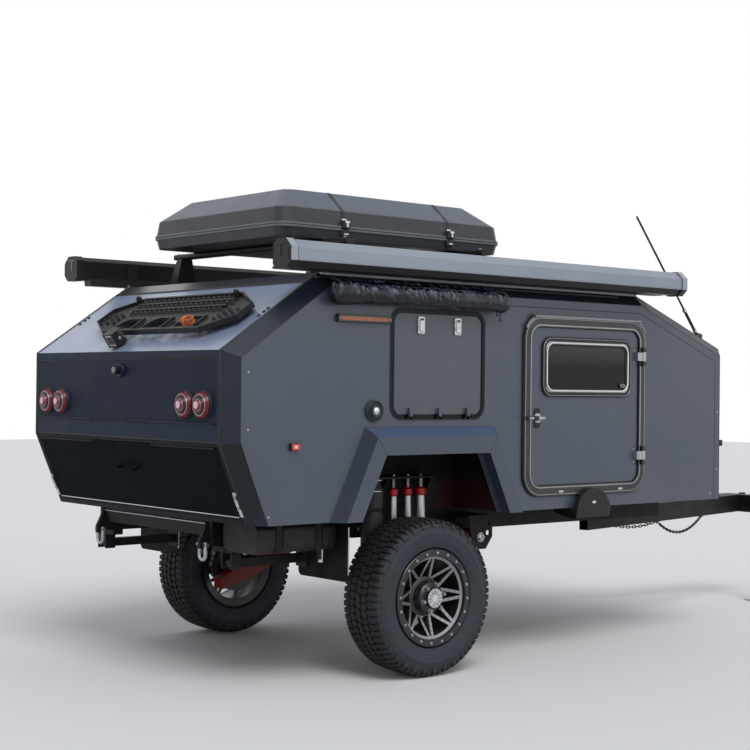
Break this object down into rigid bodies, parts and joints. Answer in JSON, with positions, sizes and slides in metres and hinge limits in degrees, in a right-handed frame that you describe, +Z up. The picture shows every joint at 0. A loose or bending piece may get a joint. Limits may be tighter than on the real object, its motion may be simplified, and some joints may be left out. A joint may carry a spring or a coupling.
{
  "type": "off-road camper trailer",
  "caption": "Faceted off-road camper trailer on trailing arms with roof case, awnings, side doors, storage hatches and drop-down rear door.",
  "frame": {"origin": "on the ground, at the middle of the trailer's length and width", "axes": "+X forward towards the coupling, +Y to the trailer's left, +Z up"},
  "size_m": [5.485, 2.24, 2.514],
  "materials": {
    "body_panel": "satin dark slate panels",
    "body_edge": "satin darker slate edge profile",
    "rear_panel": "satin near-black panel",
    "black_steel": "black powder coat",
    "red_steel": "red powder coat",
    "black_plastic": "moulded black plastic",
    "case_plastic": "grained dark grey plastic",
    "cassette": "anodised grey extrusion",
    "cassette_black": "black coated extrusion",
    "frame_metal": "dark anodised frame",
    "alloy": "black and machined alloy",
    "tyre": "lugged rubber",
    "rubber": "soft black rubber",
    "damper_metal": "bright damper bodies",
    "zinc": "plated steel",
    "glass_dark": "tinted window",
    "lens_red": "red lens with chrome ring",
    "lens_amber": "smoked amber lens",
    "vinyl": "coated black fabric",
    "mattress_fabric": "woven cover",
    "birch": "birch plywood",
    "rope": "braided orange rope"
  },
  "bodies": {
    "trailer": {"side_wall_right": "body_panel", "side_wall_left": "body_panel", "edge_trims": "body_edge", "rear_slope": "body_edge", "roof_panel": "body_edge", "front_slope": "body_edge", "front_wall": "body_panel", "rear_frame": "body_edge", "floor_panel": "black_steel", "arch_boxes": "black_steel", "arch_flares": "body_panel", "bulkhead": "birch", "mattress": "mattress_fabric", "opening_frames": "frame_metal", "chassis_frame": "black_steel", "suspension_towers": "black_steel", "trailing_arms": "red_steel", "air_springs": "rubber", "dampers": "damper_metal", "mud_flaps": "rubber", "water_tank": "black_plastic", "drawbar": "black_steel", "coupling": "black_steel", "jack_tube": "black_steel", "stabiliser_brackets": "black_steel", "step_brackets": "black_steel", "roof_bars": "black_steel", "case_tray": "case_plastic", "awning_right": "cassette", "awning_left": "cassette_black", "awning_brackets": "black_steel", "pouch": "vinyl", "traction_board": "black_plastic", "work_light": "black_plastic", "side_lights": "lens_amber", "power_inlet": "black_plastic", "antenna": "black_steel", "shackles": "zinc", "rope_hank": "rope"},
    "door_right": {"door_right": "body_panel", "window_right": "glass_dark"},
    "door_left": {"door_left": "body_panel", "window_left": "glass_dark"},
    "hatch_right": {"hatch_right": "body_panel"},
    "hatch_left": {"hatch_left": "body_panel"},
    "rear_door": {"rear_door": "rear_panel", "tail_lamps": "lens_red"},
    "rear_flap": {"rear_flap": "rear_panel"},
    "case_lid": {"case_lid": "case_plastic"},
    "step_right": {"step_right": "black_plastic"},
    "step_left": {"step_left": "black_plastic"},
    "stabiliser_right": {"stabiliser_right": "black_steel"},
    "stabiliser_left": {"stabiliser_left": "black_steel"},
    "jack_leg": {"jack_leg": "zinc"},
    "wheel_right": {"wheel_right": "alloy", "tyre_right": "tyre"},
    "wheel_left": {"wheel_left": "alloy", "tyre_left": "tyre"}
  },
  "joints": [
    {"name": "door_right_hinge", "type": "hinge", "parent": "trailer", "child": "door_right", "pos_m": [0.1965, -0.999, 1.386], "axis": [0, 0, 1], "range_deg": [0, 110]},
    {"name": "hatch_right_hinge", "type": "hinge", "parent": "trailer", "child": "hatch_right", "pos_m": [-1.3925, -0.983, 1.339], "axis": [1, 0, 0], "range_deg": [0, 90]},
    {"name": "step_right_fold", "type": "hinge", "parent": "trailer", "child": "step_right", "pos_m": [-0.2425, -1.004, 0.778], "axis": [1, 0, 0], "range_deg": [0, 90]},
    {"name": "stabiliser_right_swing", "type": "hinge", "parent": "trailer", "child": "stabiliser_right", "pos_m": [-2.4175, -0.6, 0.612], "axis": [0, 1, 0], "range_deg": [0, 90]},
    {"name": "door_left_hinge", "type": "hinge", "parent": "trailer", "child": "door_left", "pos_m": [0.1965, 0.999, 1.386], "axis": [0, 0, -1], "range_deg": [0, 110]},
    {"name": "hatch_left_hinge", "type": "hinge", "parent": "trailer", "child": "hatch_left", "pos_m": [-1.3925, 0.983, 1.339], "axis": [-1, 0, 0], "range_deg": [0, 90]},
    {"name": "step_left_fold", "type": "hinge", "parent": "trailer", "child": "step_left", "pos_m": [-0.2425, 1.004, 0.778], "axis": [-1, 0, 0], "range_deg": [0, 90]},
    {"name": "stabiliser_left_swing", "type": "hinge", "parent": "trailer", "child": "stabiliser_left", "pos_m": [-2.4175, 0.6, 0.612], "axis": [0, 1, 0], "range_deg": [0, 90]},
    {"name": "rear_door_hinge", "type": "hinge", "parent": "trailer", "child": "rear_door", "pos_m": [-2.703, 0, 1.3], "axis": [0, -1, 0], "range_deg": [0, 90]},
    {"name": "rear_flap_hinge", "type": "hinge", "parent": "trailer", "child": "rear_flap", "pos_m": [-2.69375, 0, 1.18415], "axis": [0, 1, 0], "range_deg": [0, 95]},
    {"name": "case_lid_hinge", "type": "hinge", "parent": "trailer", "child": "case_lid", "pos_m": [-1.3675, 0.62, 2.303], "axis": [-1, 0, 0], "range_deg": [0, 70]},
    {"name": "jack_slide", "type": "slide", "parent": "trailer", "child": "jack_leg", "axis": [0, 0, 1], "range_m": [0, 0.34]},
    {"name": "wheel_right_spin", "type": "hinge", "parent": "trailer", "child": "wheel_right", "pos_m": [-1.4355, -0.87, 0.405], "axis": [0, 1, 0], "continuous": true},
    {"name": "wheel_left_spin", "type": "hinge", "parent": "trailer", "child": "wheel_left", "pos_m": [-1.4355, 0.87, 0.405], "axis": [0, 1, 0], "continuous": true}
  ]
}
